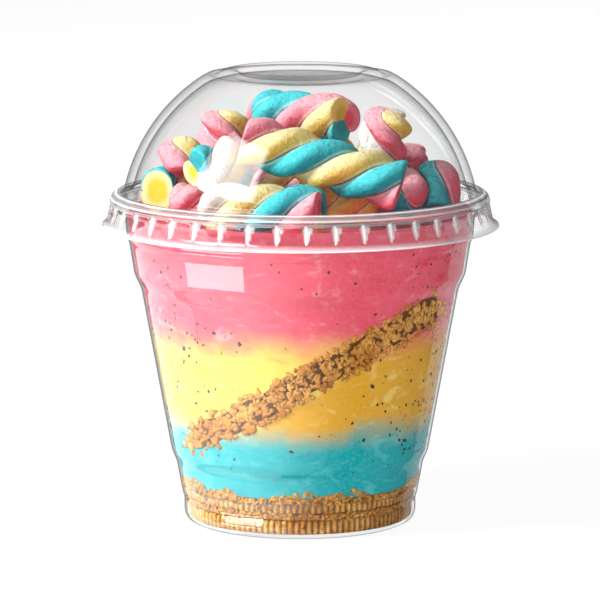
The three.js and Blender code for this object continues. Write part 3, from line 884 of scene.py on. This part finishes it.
def pressed_radius(full, centres, out, others):
    """How far out the skin comes before it meets the cream or another twist."""
    limit, before = full.copy(), np.full(full.shape, FAR)
    done = np.zeros(full.shape, bool)
    for step in range(1, PRESS_STEPS + 1):
        reach = full * (step / PRESS_STEPS)
        spots = (centres[:, None, :] + out * reach[..., None]).reshape(-1, 3)
        clear = spots[:, 2] - cream_height(spots) - 0.05
        for other in others:
            clear = np.minimum(clear, other.clearance(spots, PRESS_GAP))
        clear = clear.reshape(full.shape)
        hit = (clear < 0) & ~done
        part = np.clip(before / np.maximum(1e-6, before - clear), 0, 1)
        limit = np.where(hit, full * ((step - 1 + part) / PRESS_STEPS), limit)
        done |= hit
        before = clear
    return np.maximum(limit, 0.04)


def end_cap(centre, edge_row, axis, first, total, at_end, cut):
    """Points, their shares of the radius, and faces that close one end of a twist.

    A cut end is a little hollow, and any other is domed."""
    count = len(edge_row)
    way = -1 if at_end else 1
    sink = 0.12 if cut else -0.25
    rings = [centre + (edge_row - centre) * share + axis * (sink * (1 - share) * way)
             for share in CAP_SHARES]
    tip = centre + axis * (0.1 if cut else -0.25) * way
    faces = row_faces(first, total, count) + grid_faces(len(CAP_SHARES), count, total)
    last = total + (len(CAP_SHARES) - 1) * count
    faces += fan_faces(last, last + count, count)
    if at_end:
        faces = [face[::-1] for face in faces]
    return np.vstack([*rings, tip]), np.append(np.repeat(CAP_SHARES, count), 0.0), faces


def make_marshmallow(twist, others, materials, draw):
    """One twist with its strands' colours, pressed in where others lie on it."""
    near, far = (end_places(kind, twist.size) for kind in twist.kinds)
    middle = np.arange(near[-1] + ALONG, twist.length - far[-1] - ALONG * 0.5, ALONG)
    places = np.concatenate([near, middle, (twist.length - far)[::-1]])
    start, stop = clear_stretch(twist, others, places)
    is_cut = (twist.kinds[0] == "cut" or start > 0,
              twist.kinds[1] == "cut" or stop < len(places))
    places = places[start:stop]
    rows, count = len(places), twist.strands * AROUND

    index = np.arange(count)
    strand, pitch = index // AROUND, TURN / twist.strands
    away = ((index % AROUND) / AROUND - 0.5) * pitch
    angle = (index / AROUND - 0.5) * pitch
    waves = draw.uniform(0, TURN, 6)
    ripple = 1 + 0.018 * np.sin(places[:, None] * 0.45 + 2 * angle + waves[0])
    ripple += 0.014 * np.sin(places[:, None] * 0.8 - 3 * angle + waves[1]) - 0.018
    full = twist.bundle(away)[None, :] * twist.share(places)[:, None] * ripple
    centres = twist.start + places[:, None] * twist.axis
    spin = twist.spin(places)[:, None] + angle[None, :]
    out = np.cos(spin)[..., None] * twist.up + np.sin(spin)[..., None] * twist.side
    radius = pressed_radius(full, centres, out, others)
    skin = (centres[:, None, :] + out * radius[..., None]).reshape(-1, 3)
    edge = np.tile(np.abs(away) / (pitch / 2), rows)
    # Painted shade: the skin is darker where the cream or another twist presses it in.
    deep = 0.6 * np.clip((full - radius) / 0.6, 0, 1).reshape(-1)
    rim = np.zeros(len(skin))
    rim[:count] = rim[-count:] = 1.0

    faces = [face[::-1] for face in grid_faces(rows, count)]
    between = np.repeat((places[:-1] + places[1:]) / 2, count)
    slots = list(twist.band(np.tile(strand, rows - 1), between))
    points, rims, total = [skin], [rim], len(skin)
    for at_end, cut in enumerate(is_cut):
        row = (rows - 1) * at_end
        first = row * count
        cap, shares, cap_faces = end_cap(centres[row], skin[first:first + count], twist.axis,
                                         first, total, at_end, cut)
        bands = twist.band(strand, np.full(count, places[row])) + cut * len(twist.bands)
        points.append(cap)
        rims.append(shares)
        faces += cap_faces
        slots += list(bands) * (len(CAP_SHARES) + 1)
        total += len(cap)
    on_caps = np.zeros(total - len(skin))
    cuts = CUT_LOOKS.get(twist.name, [colour + "cut" for colour in twist.bands])
    return make_object("twist_" + twist.name, np.vstack(points), faces,
                       [materials[key] for key in [*twist.bands, *cuts]], slots,
                       attributes={"deep": np.concatenate([deep, on_caps]),
                                   "edge": np.concatenate([edge, on_caps]),
                                   "rim": np.concatenate(rims)})


# ---------------------------------------------------------------- assembly
stand_for(make_cup(), "clear_plastic", "cup")
stand_for(make_lid(), "clear_plastic", "lid")

cream = make_cream_material()
stand_for(make_cream("blue_layer", 11.0, BLUE_TOP, cream), "blue_cream", "blue_cream")
stand_for(make_cream("yellow_layer", BLUE_TOP, YELLOW_TOP, cream), "yellow_cream",
          "yellow_cream_left", "yellow_cream_right")
stand_for(make_cream("pink_layer", YELLOW_TOP, PINK_EDGE, cream, dished=True), "pink_cream",
          "pink_cream")

biscuit = make_biscuit_material("biscuit", (0.94, 0.52, 0.15), (0.64, 0.26, 0.050),
                                (0.16, 0.045, 0.010))
crumb = make_biscuit_material("crumb", (0.94, 0.52, 0.13), (0.62, 0.25, 0.040),
                              (0.25, 0.07, 0.010), 0.8)
stand_for(make_biscuit("ridged_biscuit_low", 1.3, 5.1, 29.7, 112, biscuit, 0.0),
          "biscuit", "biscuit_low")
stand_for(make_biscuit("ridged_biscuit_high", 6.9, 9.5, 30.2, 116, biscuit, 0.4),
          "biscuit", "biscuit_high")
stand_for(make_seam_crumbs(crumb), "crumbs", "crumb_seam")
stand_for(make_floor_crumbs(crumb), "crumbs", "crumb_layer")
stand_for(make_band_crumbs(crumb), "crumble", "crumble_band")

# Each foam's colours: its own, its darker patches, its painted shade, and its pale one for specks
# of powder and painted light.
marshmallow = {
    "P": make_marshmallow_material("pink_foam", (0.88, 0.12, 0.20), (0.76, 0.045, 0.11),
                                   (0.30, 0.010, 0.025), (0.96, 0.47, 0.54)),
    "Y": make_marshmallow_material("yellow_foam", (0.92, 0.58, 0.09), (0.82, 0.40, 0.03),
                                   (0.32, 0.11, 0.01), (0.97, 0.84, 0.44)),
    # Painted shade: the orange foam and its cut are darker copies of the yellow ones, for yellow
    # strands that lie in shade.
    "O": make_marshmallow_material("yellow_foam_in_painted_shade", (0.88, 0.40, 0.05), (0.76, 0.24, 0.02),
                                   (0.26, 0.06, 0.01), (0.92, 0.55, 0.12)),
    "B": make_marshmallow_material("blue_foam", (0.0, 0.38, 0.45), (0.0, 0.25, 0.31),
                                   (0.0, 0.05, 0.08), (0.09, 0.70, 0.76)),
    "W": make_marshmallow_material("white_foam", (0.80, 0.70, 0.64), (0.68, 0.52, 0.46),
                                   (0.30, 0.16, 0.13), (0.90, 0.86, 0.81)),
    "Pcut": make_cut_material("pink_cut", (0.80, 0.18, 0.26), (0.66, 0.04, 0.09)),
    "Ycut": make_cut_material("yellow_cut", (0.80, 0.50, 0.12), (0.55, 0.30, 0.02)),
    "Ocut": make_cut_material("yellow_cut_in_painted_shade", (0.80, 0.42, 0.08), (0.6, 0.26, 0.02)),
    "Bcut": make_cut_material("blue_cut", (0.02, 0.34, 0.40), (0.0, 0.19, 0.23)),
    "Wcut": make_cut_material("white_cut", (0.9, 0.86, 0.82), (0.75, 0.68, 0.62)),
    "Ycore": make_cut_material("yellow_core", (0.95, 0.80, 0.40), (0.92, 0.60, 0.03)),
}
foam_draw = np.random.default_rng(21)
made_twists = []
for row in TWISTS:
    twist = Twist(*row)
    piece = make_marshmallow(twist, made_twists, marshmallow, foam_draw)
    stand_for(piece, "marshmallow", "marshmallow_" + twist.name)
    made_twists.append(twist)

stand_for(make_specks(), "crumble")


# ------------------------------------------------------------------- stage
# The even light on matt surfaces, and the light that shiny ones mirror.
AMBIENT, MIRRORED = 0.2, 0.28
# The ground's own glow to the eye, and its colour to the eye and to other light.
GROUND_GLOW, GROUND_SEEN, GROUND_GREY = 0.94, 0.05, 0.55
LAMP_TARGET = (0, 0, 0.06)


def make_floor():
    """Ground that glows white to the eye, with a faint shadow, and is grey to other light."""
    far = 9000
    corners = [(-far, -far, 0), (far, -far, 0), (far, far, 0), (-far, far, 0)]
    g = Graph("floor")
    bounced = g.node("ShaderNodeLightPath").outputs["Diffuse Depth"]
    power = g.spread(bounced, 0.0, 1.0, GROUND_GLOW, 0.0, soft=False)
    pale = g.spread(bounced, 0.0, 1.0, GROUND_SEEN, GROUND_GREY, soft=False)
    diffuse = g.node("ShaderNodeBsdfDiffuse", {"Color": pale})
    glow = g.node("ShaderNodeEmission", {"Color": (1, 1, 1), "Strength": power})
    both = g.node("ShaderNodeAddShader", {0: diffuse.outputs[0], 1: glow.outputs[0]})
    material = g.show(both.outputs[0])
    floor = make_object("floor", corners, [(0, 1, 2, 3)], [material], smooth=False)
    floor.visible_glossy = False


def make_lamp(name, place, size, power):
    """A square lamp that looks at the cup's middle, and that nothing mirrors."""
    lamp = bpy.data.lights.new(name, "AREA")
    lamp.shape = "RECTANGLE"
    lamp.size, lamp.size_y = size, size
    lamp.energy = power
    thing = bpy.data.objects.new(name, lamp)
    bpy.context.collection.objects.link(thing)
    thing.location = place
    point_at(thing, LAMP_TARGET)
    thing.visible_camera = thing.visible_glossy = False


def make_backdrop():
    """A white ball round everything: what the eye sees behind the cup, and through it."""
    bpy.ops.mesh.primitive_uv_sphere_add(radius=20, segments=48, ring_count=24)
    ball = bpy.context.object
    ball.name = "backdrop"
    g = Graph("backdrop")
    bounced = g.node("ShaderNodeLightPath").outputs["Diffuse Depth"]
    power = g.spread(bounced, 0.0, 1.0, 1.0, AMBIENT, soft=False)
    light = g.node("ShaderNodeEmission", {"Color": (1, 1, 1), "Strength": power})
    ball.data.materials.append(g.show(light.outputs[0]))
    ball.visible_diffuse = ball.visible_glossy = ball.visible_shadow = False


def make_card(name, turn, tilt, strength, fade=False, reach=1500):
    """A bright piece of a ball round the cup that only shiny surfaces show.

    turn is a range of degrees from the front to the left; tilt is two ranges of
    degrees upwards, at the first and the last turn. A card that fades is dark at its
    first turn. reach is the ball's radius, smaller for a card in front of another."""
    rows, columns = 8, 24
    width = columns + 1
    points = []
    for high in np.linspace(0, 1, rows + 1):
        for part in np.linspace(0, 1, width):
            left = math.radians(turn[0] + (turn[1] - turn[0]) * part)
            low_up, high_up = ((1 - part) * a + part * b for a, b in zip(*tilt))
            up = math.radians(low_up + (high_up - low_up) * high)
            points.append((-reach * math.cos(up) * math.sin(left),
                           -reach * math.cos(up) * math.cos(left),
                           reach * math.sin(up) + 60))
    faces = [(a, a + 1, a + width + 1, a + width)
             for a in [i * width + j for i in range(rows) for j in range(columns)]]
    g = Graph(name)
    power = strength
    if fade:
        power = g.math("MULTIPLY", g.spread(g.attribute("share"), 0.0, 1.0), strength)
    light = g.node("ShaderNodeEmission", {"Color": (1, 1, 1), "Strength": power})
    card = make_object(name, points, faces, [g.show(light.outputs[0])],
                       attributes={"share": np.tile(np.linspace(0, 1, width), rows + 1)})
    card.visible_camera = card.visible_diffuse = card.visible_shadow = False
    card.visible_transmission = False


def make_world():
    """Even light from all round, brighter in reflections than on matt surfaces."""
    world = bpy.data.worlds.new("world")
    bpy.context.scene.world = world
    world.use_nodes = True
    nodes, links = world.node_tree.nodes, world.node_tree.links
    path = nodes.new("ShaderNodeLightPath")
    power = nodes.new("ShaderNodeMapRange")
    power.inputs["To Min"].default_value = AMBIENT
    power.inputs["To Max"].default_value = MIRRORED
    links.new(path.outputs["Is Glossy Ray"], power.inputs["Value"])
    links.new(power.outputs[0], nodes["Background"].inputs["Strength"])
    nodes["Background"].inputs["Color"].default_value = (1, 1, 1, 1)


make_floor()
make_world()
make_backdrop()
make_lamp("key", (-0.92, -0.46, 0.84), 0.32, 29.0)
make_lamp("fill", (-0.12, -1.27, 0.30), 0.60, 6.4)
make_lamp("behind", (0.45, 1.20, 0.62), 0.70, 13.0)
make_card("window_high", (32, 80), ((22, 56), (22, 56)), 7.5, reach=1400)
make_card("window_middle", (37, 84), ((-17, -8), (-15, -8)), 14.0, reach=1400)
make_card("window_low", (40, 86), ((-26.8, -23), (-22.2, -18)), 13.0, reach=1400)
make_card("window_faint", (38, 88), ((-31, -27), (-26, -22.4)), 3.0, reach=1420)
make_card("veil", (-60, 95), ((-58, -19), (-58, -19)), 4.2, fade=True)
make_card("veil_side", (95, 150), ((-58, -17), (-58, -10)), 4.2)
make_card("step_line", (15, 150), ((-38, -34), (-38, -34)), 2.4, reach=1400)
make_card("edge_right", (-160, -126), ((-34, -8), (-34, -8)), 1.3)
bpy.context.scene.view_settings.view_transform = "Standard"
